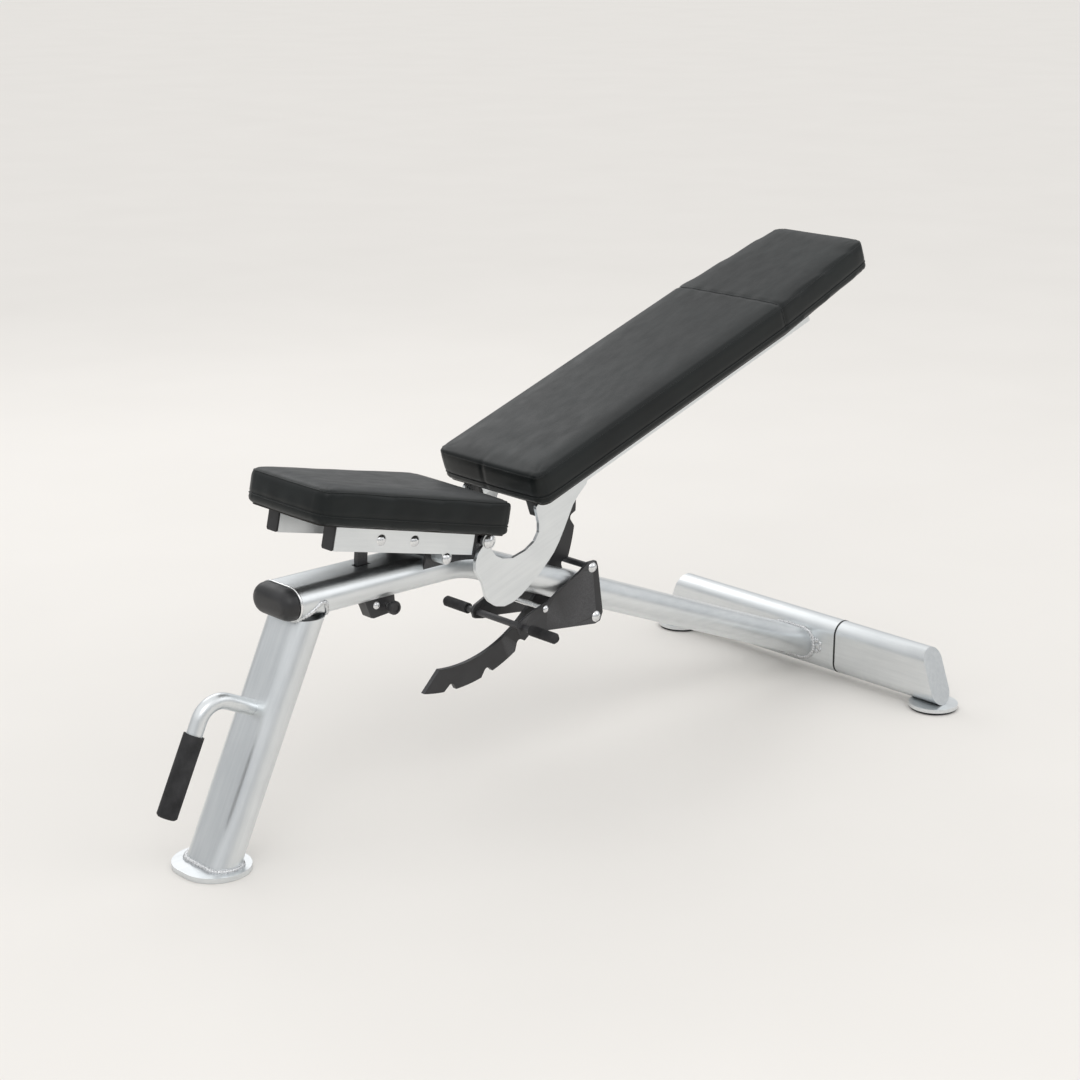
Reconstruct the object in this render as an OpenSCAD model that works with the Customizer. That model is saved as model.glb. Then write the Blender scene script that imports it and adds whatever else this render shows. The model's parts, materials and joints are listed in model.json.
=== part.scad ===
// Adjustable weight bench: oval tube frame, hinged seat, ratchet backrest, catch lever and seat pin.
// Millimetres. +X runs from the seat end to the head end, +Z is up.
// The origin is on the floor, under the centre of the front foot plate.

/* [Main frame] */
// Width of the flat-oval tube
tube_w = 100; // [96:1:104]
// Height of the flat-oval tube
tube_h = 50; // [48:1:52]
// Wall of the frame tubes
tube_wall = 3; // [2:0.5:4]
// Height of the beam's centre line above the floor
beam_z = 388; // [387:0.5:389]
// Overall spread of the rear feet, centre to centre
foot_spread = 624; // [580:2:680]
// Lean of the front leg from upright, in degrees
leg_lean = 25.3; // [24.5:0.1:26]

/* [Seat] */
// Length of the seat pad
seat_len = 358; // [350:1:360]
// Half the seat's width at its front edge
seat_half_front = 97; // [92:1:110]
// Half the seat's width at its rear edge
seat_half_rear = 124; // [118:1:130]
// Thickness of the seat pad
seat_thick = 59; // [50:1:60]
// Upward tilt of the seat as set, in degrees
seat_tilt = 12.6; // [12.4:0.1:12.7]

/* [Backrest] */
// Length of the back pad
back_len = 858; // [800:1:900]
// Half the back pad's width over its lower part
back_half = 125; // [118:1:132]
// Half the back pad's width at the head end
back_half_head = 103; // [95:1:115]
// Thickness of the back pad
back_thick = 60; // [52:1:61]
// Angle of the backrest above level as set, in degrees
back_angle = 19.7; // [19.5:0.1:20]

/* [Ratchet] */
// Radius of the ladder's tooth tips about the backrest hinge
ladder_tip_r = 268; // [266:0.5:268]
// Angle between neighbouring notches, in degrees
notch_pitch = 17.1; // [17:0.05:17.2]
// Number of notches
notch_count = 6; // [5:1:6]

/* [Hidden] */
$fn = 64;
steel = [0.80, 0.82, 0.84];
black = [0.07, 0.07, 0.08];
vinyl = [0.10, 0.11, 0.11];
rubber = [0.05, 0.05, 0.05];
run_gap = 0.05;      // radial clearance of a running fit
hair = 0.4;          // gap between neighbouring surfaces of different bodies

// beam
beam_x0 = 142;
bar_x = 1341;
bar_z = 60.5;
bar_face_x = bar_x - tube_h / 2;
beam_fall = 21.6;      // fall of the beam's rear run, in degrees
bend_x = 439;          // where the level run ends and the bend starts
bend_r = 200;
bend_steps = 6;        // flats along the bend
edge_steps = 16;       // flats round each rounded edge of the beam
cap_len = 24;
cap_lip = 3;

// rear bar and feet
bar_cut_tilt = 20.3;
bar_top_half = foot_spread / 2 - 18;
bar_joint_y = -100;
bar_joint_gap = 1.6;
end_plate_t = 4;
disc_r = 43.5;
disc_bottom = 4;
disc_top = 10.5;
foot_y = foot_spread / 2;

// front foot and lift handle
flange_t = 8;
flange_len = 130;
flange_w = 109;
grab_r = 12.5;
grab_bend = 38;
grab_off = 112;
grab_s = 246;
grab_tip_s = 66;
grip_r = 16;
grip_top_s = 186;
grip_end_s = 58;

// backrest hinge and seat hinge, in the XZ plane
hinge_x = 479;
hinge_z = 432;
seat_hinge_x = 399;
seat_hinge_z = 418.5;
axle_r = 8;
seat_axle_r = 4.5;
cheek_y = 42;
cheek_t = 6;
eye_r = 13;

// seat
seat_x = 144.5;
seat_z = 521.6;
board_t = 12;
board_inset = 8;
seat_rail_y = 55;
rail_w = 26;
rail_wall = 2.5;
seat_rail_h = 38;
seat_rail_u0 = 45;
seat_rail_u1 = 322;
rail_cap_t = 3;
rear_cap_t = 6;
cross_t = 5;
pad_corner = 24;

// seat sector and pin
pin_x = 322;
pin_z = 348;
pin_r = 4;
sector_r = norm([pin_x - seat_hinge_x, pin_z - seat_hinge_z]);
sector_a = 180 + atan((seat_hinge_z - pin_z) / (seat_hinge_x - pin_x));
sector_half = 10;
sector_t = 8;
seat_step = seat_tilt / 2;
slot_w = 14;

// back
back_x = 565.4;
back_z = 474;
back_taper = 0.7;
back_rail_y = 57;
back_rail_h = 29;
back_cap_h = 35;
back_rail_v0 = 24;
back_rail_v1 = 700;
crescent_y = back_rail_y + rail_w;
crescent_t = 6;

// ladder, catch lever
ladder_t = 8;
ladder_in_r = 229;
ladder_a0 = -104;
ladder_a1 = 21;
pocket_r = 7.2;
notch_mouth_r = 282;
notch_lean = 2.1;
notch_slope = 4;
pin_seat_r = 264;
pin_seat_a = -23.2;
catch_r = 5.5;
lever_x = 743;
lever_z = 243;
lever_bolt_r = 5;
lever_release = 7.9;
lever_y = 54;
lever_t = 5;
lever_boss_r = 12;
rod_x = 580;
rod_z = 260;
rod_r = 5.5;
rod_half = 136;
lever_grip_r = 9;
lever_grip_len = 58;
stop_x = 628;
stop_z = 281;
stop_r = 4.5;

function polar(r, a) = [r * cos(a), r * sin(a)];
function arc(r, a0, a1, n) = [for (i = [0:n]) polar(r, a0 + (a1 - a0) * i / n)];

// The catch pin's centre with the lever as set, turned clear of the teeth about the lever's bolt
seated = [hinge_x, hinge_z] + polar(pin_seat_r, pin_seat_a);
seated_arm = seated - [lever_x, lever_z];
catch_arm_r = norm(seated_arm);
catch_arm_a = atan2(seated_arm[1], seated_arm[0]) - lever_release;
catch_at = [lever_x, lever_z] + polar(catch_arm_r, catch_arm_a);

// ---- shapes shared by several pieces ----

// Flat oval, long side along x
module oval(w, h) {
  square([w - h, h], center = true);
  for (s = [-1, 1]) translate([s * (w - h) / 2, 0]) circle(d = h);
}

module oval_ring(w, h, t) {
  difference() {
    oval(w, h);
    oval(w - 2 * t, h - 2 * t);
  }
}

// A 2D outline in x and z, from y0 to y0 + t
module slab(y0, t) {
  translate([0, y0 + t, 0]) rotate([90, 0, 0]) linear_extrude(t) children();
}

// A round bar along y
module ybar(x, z, r, y0, y1) {
  translate([x, y1, z]) rotate([90, 0, 0]) cylinder(r = r, h = y1 - y0);
}

// A low domed head whose flat side faces the piece at y0, standing out towards side s
module dome_head(x, z, r, t, y0, s) {
  translate([x, y0, z]) rotate([-90 * s, 0, 0]) rotate_extrude() intersection() {
    translate([0, t - (r * r + t * t) / (2 * t)]) circle(r = (r * r + t * t) / (2 * t), $fn = 96);
    square([r, t]);
  }
}

// Ring along y, from y0 to y1
module washer(x, z, ro, ri, y0, y1) {
  difference() {
    ybar(x, z, ro, y0, y1);
    ybar(x, z, ri, y0 - 1, y1 + 1);
  }
}

// Straight length of solid flat-oval bar along x
module oval_run(len, w, h) {
  rotate([90, 0, 90]) linear_extrude(len) oval(w, h);
}

// Outline of a flat oval as [y, z] points, each rounded edge in equal flats
function oval_points(w, h) = [
  for (side = [0, 1], i = [0:edge_steps])
    let (a = 180 * side - 90 + 180 * i / edge_steps)
      [(0.5 - side) * (w - h) + h / 2 * cos(a), h / 2 * sin(a)]
];

// A point of the beam's surface, a degrees round the bend
function bend_point(p, a) = [
  bend_x + (bend_r + p[1]) * sin(a),
  p[0],
  beam_z - bend_r + (bend_r + p[1]) * cos(a)
];

// A point of the beam's surface where the falling run meets the plane at x
function fall_point(p, x) =
  let (start = bend_point(p, beam_fall))
    [x, p[0], start[2] - (x - start[0]) * tan(beam_fall)];

// The beam as a solid bar: level run, bend and falling run, longer by g at both ends
module beam_bar(w, h, g) {
  section = oval_points(w, h);
  n = len(section);
  spans = bend_steps + 2;
  points = [
    for (p = section) [beam_x0 - g, p[0], beam_z + p[1]],
    for (i = [0:bend_steps], p = section) bend_point(p, beam_fall * i / bend_steps),
    for (p = section) fall_point(p, bar_face_x + g)
  ];
  sides = [
    for (k = [0:spans - 1], i = [0:n - 1])
      let (j = (i + 1) % n)
        [k * n + i, (k + 1) * n + i, (k + 1) * n + j, k * n + j]
  ];
  front = [for (i = [0:n - 1]) i];
  rear = [for (i = [n - 1:-1:0]) spans * n + i];
  polyhedron(points, concat([front], sides, [rear]));
}

// Ring sector about a hinge, used for slots
module ring_cut(x, z, r0, r1, w, x0, x1) {
  intersection() {
    translate([x, w / 2, z]) rotate([90, 0, 0]) difference() {
      cylinder(r = r1, h = w, $fn = 128);
      translate([0, 0, -1]) cylinder(r = r0, h = w + 2, $fn = 128);
    }
    translate([x0, -w, 0]) cube([x1 - x0, 2 * w, beam_z + tube_h]);
  }
}

// ---- frame ----

module beam() {
  color(steel) difference() {
    beam_bar(tube_w, tube_h, 0);
    beam_bar(tube_w - 2 * tube_wall, tube_h - 2 * tube_wall, 5);
    ring_cut(hinge_x, hinge_z, ladder_in_r - 4, ladder_tip_r + 4, slot_w, 600, 800);
    ring_cut(seat_hinge_x, seat_hinge_z, sector_r - sector_half - 4, sector_r + sector_half + 4,
      slot_w, 270, 345);
  }
}

// Domed plastic cap on the beam's front end
module beam_end_cap() {
  color(black) translate([beam_x0, 0, beam_z]) rotate([0, -90, 0]) hull() {
    linear_extrude(cap_lip) rotate(90) oval(tube_w, tube_h);
    translate([0, 0, cap_len * 0.6]) linear_extrude(1) rotate(90) oval(tube_w - 10, tube_h - 10);
    translate([0, 0, cap_len - 1]) linear_extrude(1) rotate(90) oval(tube_w - 32, tube_h - 32);
  }
}

module front_leg() {
  color(steel) difference() {
    rotate([0, leg_lean, 0]) linear_extrude(460) rotate(90) oval_ring(tube_w, tube_h, tube_wall);
    translate([-200, -100, -60]) cube([400, 200, 60 + flange_t]);
    translate([-200, -100, beam_z - tube_h / 2]) cube([700, 200, 200]);
    translate([beam_x0, 0, beam_z]) translate([-50, 0, 0]) oval_run(400, tube_w, tube_h);
  }
}

module front_foot_plate() {
  color(steel) linear_extrude(flange_t) rotate(90) oval(flange_len, flange_w);
}

// Places children in the leg's frame: x away from the leg's front face, z up the leg
module on_leg() {
  rotate([0, leg_lean, 0]) rotate([0, 0, 180]) children();
}

module lift_handle_tube() {
  color(steel) on_leg() difference() {
    union() {
      translate([tube_h / 2, 0, grab_s]) rotate([0, 90, 0])
        cylinder(r = grab_r, h = grab_off - grab_bend - tube_h / 2);
      translate([grab_off - grab_bend, 0, grab_s - grab_bend]) rotate([90, 0, 0])
        rotate_extrude(angle = 90) translate([grab_bend, 0]) circle(r = grab_r);
      translate([grab_off, 0, grab_tip_s]) cylinder(r = grab_r, h = grab_s - grab_bend - grab_tip_s);
    }
  }
}

module lift_handle_grip() {
  color(rubber) on_leg() translate([grab_off, 0, grip_end_s]) difference() {
    union() {
      translate([0, 0, 3]) cylinder(r = grip_r, h = grip_top_s - grip_end_s - 3);
      cylinder(r1 = grip_r - 3, r2 = grip_r, h = 3);
    }
    translate([0, 0, grab_tip_s - grip_end_s]) cylinder(r = grab_r, h = 200);
  }
}

// Rear bar solid with both ends cut on the slant, from y0 to y1
module bar_solid(w, h) {
  intersection() {
    translate([bar_x, foot_y + 60, bar_z]) rotate([90, 0, 0]) linear_extrude(foot_spread + 120)
      rotate(90) oval(w, h);
    bar_ends(0);
  }
}

// Space between the two slanted end planes, grown outwards by g
module bar_ends(g) {
  top = bar_z + tube_w / 2;
  rise = 200;
  lean = tan(bar_cut_tilt);
  half = bar_top_half + g;
  translate([bar_x + 100, 0, 0]) rotate([90, 0, -90]) linear_extrude(200) polygon([
    [-half + lean * (rise - top), rise],
    [half - lean * (rise - top), rise],
    [half + lean * (top + 20), -20],
    [-half - lean * (top + 20), -20]
  ]);
}

module bar_piece(y0, y1) {
  intersection() {
    difference() {
      bar_solid(tube_w, tube_h);
      translate([bar_x, foot_y + 60, bar_z]) rotate([90, 0, 0]) linear_extrude(foot_spread + 120)
        rotate(90) oval(tube_w - 2 * tube_wall, tube_h - 2 * tube_wall);
    }
    translate([bar_x - 100, y0, -50]) cube([200, y1 - y0, 300]);
  }
}

module crossbar_main() {
  color(steel) bar_piece(bar_joint_y + bar_joint_gap / 2, foot_y + 100);
}

module crossbar_near_section() {
  color(steel) bar_piece(-foot_y - 100, bar_joint_y - bar_joint_gap / 2);
}

// Thin dark ring in the bar's joint
module crossbar_joint_ring() {
  color(black) translate([bar_x, bar_joint_y + bar_joint_gap / 2, bar_z]) rotate([90, 0, 0])
    linear_extrude(bar_joint_gap) rotate(90) oval_ring(tube_w - 0.6, tube_h - 0.6, tube_wall + 2);
}

module end_plate(s) {
  intersection() {
    difference() {
      bar_ends(end_plate_t);
      bar_ends(0);
    }
    translate([bar_x, foot_y + 80, bar_z]) rotate([90, 0, 0]) linear_extrude(foot_spread + 160)
      rotate(90) oval(tube_w, tube_h);
    translate([bar_x - 100, s > 0 ? 0 : -foot_y - 100, -50]) cube([200, foot_y + 100, 300]);
  }
}

module crossbar_end_plate_near() { color(steel) end_plate(-1); }
module crossbar_end_plate_far() { color(steel) end_plate(1); }

module foot_disc(s) {
  translate([bar_x, s * foot_y, disc_bottom]) cylinder(r = disc_r, h = disc_top - disc_bottom);
}

module rear_foot_pads() {
  color(rubber) for (s = [-1, 1]) translate([bar_x, s * foot_y, 0])
    cylinder(r1 = disc_r - 3, r2 = disc_r - 1, h = disc_bottom);
}

module rear_foot_disc_near() { color(steel) foot_disc(-1); }
module rear_foot_disc_far() { color(steel) foot_disc(1); }
// Upright cheek beside the beam that carries both hinge axles
module cheek(y0) {
  difference() {
    slab(y0, cheek_t) hull() {
      translate([seat_hinge_x, seat_hinge_z]) circle(r = eye_r - 1);
      translate([hinge_x, hinge_z]) circle(r = eye_r);
      translate([seat_hinge_x - 22, beam_z]) square([4, 4]);
      translate([hinge_x + 14, beam_z]) square([4, 4]);
    }
    beam_bar(tube_w, tube_h, 0);
    ybar(hinge_x, hinge_z, axle_r, -100, 100);
    ybar(seat_hinge_x, seat_hinge_z, seat_axle_r, -100, 100);
  }
}

module pivot_cheek_near() { color(black) cheek(-cheek_y - cheek_t); }
module pivot_cheek_far() { color(black) cheek(cheek_y); }

axle_half = crescent_y + crescent_t + 1;

module main_axle() {
  color(steel) {
    ybar(hinge_x, hinge_z, axle_r, -axle_half, axle_half);
    for (s = [-1, 1]) dome_head(hinge_x, hinge_z, 11, 5, s * axle_half, s);
  }
}

// Spacer tubes on the main axle between the cheeks and the side plates
module main_axle_spacers() {
  color(steel) for (s = [-1, 1]) {
    y0 = cheek_y + cheek_t;
    washer(hinge_x, hinge_z, 12, axle_r, s > 0 ? y0 : 0.5 - crescent_y, s > 0 ? crescent_y - 0.5 : -y0);
  }
}

seat_axle_half = seat_rail_y + rail_w + 0.5;

module seat_axle() {
  color(steel) {
    ybar(seat_hinge_x, seat_hinge_z, seat_axle_r, -seat_axle_half, seat_axle_half);
    for (s = [-1, 1]) dome_head(seat_hinge_x, seat_hinge_z, 9, 4.5, s * seat_axle_half, s);
  }
}

// Tube under the beam that the catch lever's bolt turns in
module lever_boss() {
  half = lever_y - hair;
  color(steel) difference() {
    ybar(lever_x, lever_z, lever_boss_r, -half, half);
    ybar(lever_x, lever_z, lever_bolt_r + run_gap, -100, 100);
    beam_bar(tube_w, tube_h, 0);
  }
}

housing_y0 = -29;
housing_y1 = -7;

// Block under the beam that guides the seat pin
module seat_pin_housing() {
  color(black) difference() {
    slab(housing_y0, housing_y1 - housing_y0) polygon([
      [276, beam_z - 20], [290, 334], [296, 332], [332, 335], [338, 342], [336, beam_z - 20]
    ]);
    beam_bar(tube_w, tube_h, 0);
    ybar(pin_x, pin_z, pin_r + run_gap, -100, 100);
    ring_cut(seat_hinge_x, seat_hinge_z, sector_r - sector_half - 4, sector_r + sector_half + 4,
      slot_w - 0.2, 270, 345);
  }
}

module seat_pin_housing_bolt() {
  color(steel) dome_head(301, 352, 6.5, 4, housing_y0, -1);
}

// ---- seat ----

// Places children on the seat: x down the slope from the front edge, z up from the pad's underside
module on_seat() {
  translate([seat_x, 0, seat_z]) rotate([0, seat_tilt, 0]) children();
}

module seat_outline(g) {
  hull() {
    for (s = [-1, 1]) {
      translate([pad_corner, s * (seat_half_front - pad_corner)]) circle(r = pad_corner - g);
      translate([seat_len - 14, s * (seat_half_rear - 14)]) circle(r = 14 - g);
    }
  }
}

module seat_pad() {
  color(vinyl) on_seat() difference() {
    linear_extrude(seat_thick) seat_outline(0);
    translate([0, 0, -1]) linear_extrude(board_t + 1) seat_outline(board_inset);
  }
}

module seat_board() {
  color(black) on_seat() linear_extrude(board_t) seat_outline(board_inset);
}

module rail_tube(len, w, h) {
  difference() {
    cube([len, w, h]);
    translate([-1, rail_wall, rail_wall]) cube([len + 2, w - 2 * rail_wall, h - 2 * rail_wall]);
  }
}

function side_y(s, y, w) = s > 0 ? y : -y - w;

module seat_rail(s) {
  on_seat() translate([seat_rail_u0, side_y(s, seat_rail_y, rail_w), -seat_rail_h])
    rail_tube(seat_rail_u1 - seat_rail_u0, rail_w, seat_rail_h);
}

module seat_rail_near() { color(steel) seat_rail(-1); }
module seat_rail_far() { color(steel) seat_rail(1); }

module seat_front_cap(s) {
  on_seat() translate([seat_rail_u0 - rail_cap_t, side_y(s, seat_rail_y, rail_w), -seat_rail_h])
    cube([rail_cap_t, rail_w, seat_rail_h - 0.2]);
}

module seat_rear_cap(s) {
  on_seat() translate([seat_rail_u1, side_y(s, seat_rail_y, rail_w), -seat_rail_h])
    cube([rear_cap_t, rail_w, seat_rail_h - 0.2]);
}

module seat_rail_front_cap_near() { color(black) seat_front_cap(-1); }
module seat_rail_front_cap_far() { color(black) seat_front_cap(1); }
module seat_rail_rear_cap_near() { color(black) seat_rear_cap(-1); }
module seat_rail_rear_cap_far() { color(black) seat_rear_cap(1); }

// Flat plate across the rails, under the pad
module seat_cross(u, len) {
  on_seat() translate([u, -seat_rail_y, -cross_t]) cube([len, 2 * seat_rail_y, cross_t]);
}

module seat_cross_plate() { color(black) seat_cross(95, 130); }

// Boss under each rail that turns on the seat axle
module seat_boss(s) {
  y0 = side_y(s, seat_rail_y, rail_w);
  difference() {
    union() {
      ybar(seat_hinge_x, seat_hinge_z, 9.5, y0, y0 + rail_w);
      translate([seat_hinge_x - 9.5, y0, seat_hinge_z]) cube([19, rail_w, 14]);
    }
    ybar(seat_hinge_x, seat_hinge_z, seat_axle_r + run_gap, -100, 100);
    on_seat() translate([0, -100, -seat_rail_h]) cube([seat_len, 200, 100]);
  }
}

module seat_hinge_boss_near() { color(steel) seat_boss(-1); }
module seat_hinge_boss_far() { color(steel) seat_boss(1); }

// Curved plate with the seat's setting holes
module seat_sector() {
  a0 = 142;
  a1 = sector_a + 6.5;
  color(black) difference() {
    union() {
      translate([seat_hinge_x, sector_t / 2, seat_hinge_z]) rotate([90, 0, 0]) linear_extrude(sector_t)
        polygon(concat(
          arc(sector_r + sector_half, a0, a1, 32),
          arc(sector_r - sector_half, a1, a0, 32)));
      on_seat() translate([170, -sector_t / 2, -26]) cube([50, sector_t, 26 - cross_t]);
    }
    for (i = [0:2]) {
      c = [seat_hinge_x, seat_hinge_z] + polar(sector_r, sector_a - i * seat_step);
      ybar(c[0], c[1], pin_r + 0.4, -20, 20);
    }
    on_seat() translate([0, -50, -cross_t]) cube([seat_len, 100, 200]);
  }
}

// Domed bolts in the rails' outer faces
module seat_side_bolts() {
  color(steel) for (s = [-1, 1]) for (u = [134, 200])
    on_seat() dome_head(u, -seat_rail_h / 2, 9, 5, s * (seat_rail_y + rail_w), s);
}

// Screws from below through the cross plates
module seat_pad_screws() {
  color(steel) for (s = [-1, 1]) for (u = [112, 180])
    on_seat() translate([u, s * 38, -cross_t - 4]) cylinder(r = 6.5, h = 4);
}

// ---- backrest ----

// Places children on the back: x up the slope from the lower edge, z out of the pad's underside
module on_back() {
  translate([back_x, 0, back_z]) rotate([0, -back_angle, 0]) children();
}

module back_outline(g) {
  c = 22;
  hull() {
    for (s = [-1, 1]) {
      translate([c, s * (back_half - c)]) circle(r = c - g);
      translate([back_len * back_taper, s * (back_half - c)]) circle(r = c - g);
      translate([back_len - c, s * (back_half_head - c)]) circle(r = c - g);
    }
  }
}

module back_pad() {
  color(vinyl) on_back() difference() {
    linear_extrude(back_thick) back_outline(0);
    translate([0, 0, -1]) linear_extrude(board_t + 1) back_outline(board_inset);
  }
}

module back_board() {
  color(black) on_back() linear_extrude(board_t) back_outline(board_inset);
}

module back_rail(s) {
  on_back() translate([back_rail_v0, side_y(s, back_rail_y, rail_w), -back_rail_h])
    rail_tube(back_rail_v1 - back_rail_v0, rail_w, back_rail_h);
}

module back_rail_near() { color(steel) back_rail(-1); }
module back_rail_far() { color(steel) back_rail(1); }

module back_cap(s, v) {
  on_back() translate([v, side_y(s, back_rail_y, rail_w), -back_cap_h])
    cube([rear_cap_t, rail_w, back_cap_h - 0.2]);
}

module back_rail_lower_cap_near() { color(black) back_cap(-1, back_rail_v0 - rear_cap_t); }
module back_rail_lower_cap_far() { color(black) back_cap(1, back_rail_v0 - rear_cap_t); }

// Flat plate across the back rails, under the board
module back_cross(v, len) {
  on_back() translate([v, -back_rail_y, -cross_t]) cube([len, 2 * back_rail_y, cross_t]);
}

module back_cross_plate_lower() { color(black) back_cross(110, 110); }
module back_cross_plate_upper() { color(black) back_cross(630, 45); }

// C-shaped side plate from the hinge to the back rail, open around the seat's rear end
module crescent(s) {
  y0 = side_y(s, crescent_y, crescent_t);
  difference() {
    slab(y0, crescent_t) translate([hinge_x, hinge_z]) {
      circle(r = eye_r + 0.5);
      offset(r = 5) offset(r = -10) offset(r = 5) polygon([
        [4, -2], [-12, -4], [-22, -14], [-28, -26], [-28, -42], [-22, -54], [-14, -65], [-10, -77],
        [-8, -88], [0, -99], [14, -109], [32, -113], [50, -110], [68, -102], [88, -88], [108, -74],
        [126, -58], [138, -46], [149, -31], [161, -10], [171, 9], [180, 26], [192, 40], [210, 56],
        [214, 70], [206, 79], [106, 43], [99, 36], [101, 28], [106, 10], [106, -5], [97, -19],
        [78, -30], [50, -37], [29, -34], [14, -26], [5, -14]
      ]);
    }
    ybar(hinge_x, hinge_z, axle_r + run_gap, -200, 200);
  }
}

module crescent_plate_near() { color(steel) crescent(-1); }
module crescent_plate_far() { color(steel) crescent(1); }

// One notch, cut inwards from the rim: one wall follows the catch pin's path, the other is sloped
module notch(a) {
  hull() {
    translate(polar(pin_seat_r, a)) circle(r = pocket_r, $fn = 32);
    translate(polar(notch_mouth_r, a + notch_lean)) circle(r = pocket_r, $fn = 32);
    translate(polar(notch_mouth_r, a - notch_slope)) circle(r = pocket_r, $fn = 32);
  }
}

// Arc plate with the setting notches, centred on the backrest hinge
module ladder_plate() {
  color(black) difference() {
    translate([hinge_x, 0, hinge_z]) slab(-ladder_t / 2, ladder_t) difference() {
      polygon(concat(
        arc(ladder_tip_r, ladder_a0, ladder_a1, 96),
        arc(ladder_in_r, ladder_a1, ladder_a0 + 6, 96)));
      for (i = [0:notch_count - 1]) notch(pin_seat_a + (i - notch_count + 2) * notch_pitch);
    }
    on_back() translate([0, -50, -cross_t]) cube([back_len, 100, 200]);
  }
}

module back_pad_screws() {
  color(steel) for (s = [-1, 1]) for (v = [140, 402, 652])
    on_back() translate([v, s * 36, -cross_t - 4]) cylinder(r = 6.5, h = 4);
}

// ---- catch lever ----

module lever_outline() {
  offset(r = 4) offset(delta = -4) polygon([
    [568, 262], [574, 272], [597, 282], [634, 292], [655, 304], [706, 329], [724, 341], [742, 341],
    [746, 330], [758, 248], [752, 234], [740, 231], [680, 238], [630, 244], [590, 246], [572, 250]
  ]);
}

module lever_plate(s) {
  y0 = side_y(s, lever_y, lever_t);
  difference() {
    slab(y0, lever_t) lever_outline();
    ybar(lever_x, lever_z, lever_bolt_r, -100, 100);
    ybar(catch_at[0], catch_at[1], catch_r, -100, 100);
    ybar(rod_x, rod_z, rod_r, -100, 100);
    ybar(stop_x, stop_z, stop_r, -100, 100);
  }
}

module lever_plate_near() { color(black) lever_plate(-1); }
module lever_plate_far() { color(black) lever_plate(1); }

lever_out = lever_y + lever_t;

module catch_pin() {
  color(black) ybar(catch_at[0], catch_at[1], catch_r, -lever_out, lever_out);
}

module catch_pin_bolts() {
  color(steel) for (s = [-1, 1]) dome_head(catch_at[0], catch_at[1], 9, 5, s * lever_out, s);
}

module lever_pivot_bolt() {
  color(steel) {
    ybar(lever_x, lever_z, lever_bolt_r, -lever_out, lever_out);
    for (s = [-1, 1]) dome_head(lever_x, lever_z, 9.5, 5, s * lever_out, s);
  }
}

module lever_stop_bolt() {
  color(steel) {
    ybar(stop_x, stop_z, stop_r, -lever_out, lever_out);
    for (s = [-1, 1]) dome_head(stop_x, stop_z, 6, 3, s * lever_out, s);
  }
}

module lever_rod() {
  color(black) ybar(rod_x, rod_z, rod_r, -rod_half + 3, rod_half - 3);
}

module lever_grip(s) {
  translate([rod_x, s * rod_half, rod_z]) rotate([90 * s, 0, 0]) difference() {
    union() {
      cylinder(r1 = lever_grip_r - 3, r2 = lever_grip_r, h = 4);
      translate([0, 0, 4]) cylinder(r = lever_grip_r, h = lever_grip_len - 4);
    }
    translate([0, 0, 3]) cylinder(r = rod_r, h = lever_grip_len);
  }
}

module lever_grip_near() { color(rubber) lever_grip(-1); }
module lever_grip_far() { color(rubber) lever_grip(1); }

// ---- seat pin ----

pin_tip_y = -sector_t / 2 - 0.6;
knob_y1 = -39;

module seat_pin() {
  color(steel) ybar(pin_x, pin_z, pin_r, knob_y1, pin_tip_y);
}

module seat_pin_knob() {
  color(rubber) translate([pin_x, knob_y1, pin_z]) rotate([90, 0, 0]) rotate_extrude() polygon([
    [0, 0], [8, 0], [11, 3], [11, 9], [9, 12], [6, 12], [6, 10.5], [0, 10.5]
  ]);
}

beam();
beam_end_cap();
front_leg();
front_foot_plate();
lift_handle_tube();
lift_handle_grip();
crossbar_main();
crossbar_near_section();
crossbar_joint_ring();
crossbar_end_plate_near();
crossbar_end_plate_far();
rear_foot_disc_near();
rear_foot_disc_far();
rear_foot_pads();
pivot_cheek_near();
pivot_cheek_far();
main_axle();
main_axle_spacers();
seat_axle();
lever_boss();
seat_pin_housing();
seat_pin_housing_bolt();
seat_pad();
seat_board();
seat_rail_near();
seat_rail_far();
seat_rail_front_cap_near();
seat_rail_front_cap_far();
seat_rail_rear_cap_near();
seat_rail_rear_cap_far();
seat_cross_plate();
seat_hinge_boss_near();
seat_hinge_boss_far();
seat_sector();
seat_side_bolts();
seat_pad_screws();
back_pad();
back_board();
back_rail_near();
back_rail_far();
back_rail_lower_cap_near();
back_rail_lower_cap_far();
back_cross_plate_lower();
back_cross_plate_upper();
crescent_plate_near();
crescent_plate_far();
ladder_plate();
back_pad_screws();
lever_plate_near();
lever_plate_far();
catch_pin();
catch_pin_bolts();
lever_pivot_bolt();
lever_stop_bolt();
lever_rod();
lever_grip_near();
lever_grip_far();
seat_pin();
seat_pin_knob();
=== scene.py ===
import json
import math

import bpy
import bmesh
from mathutils import Matrix, Vector
from mathutils.bvhtree import BVHTree

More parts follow.
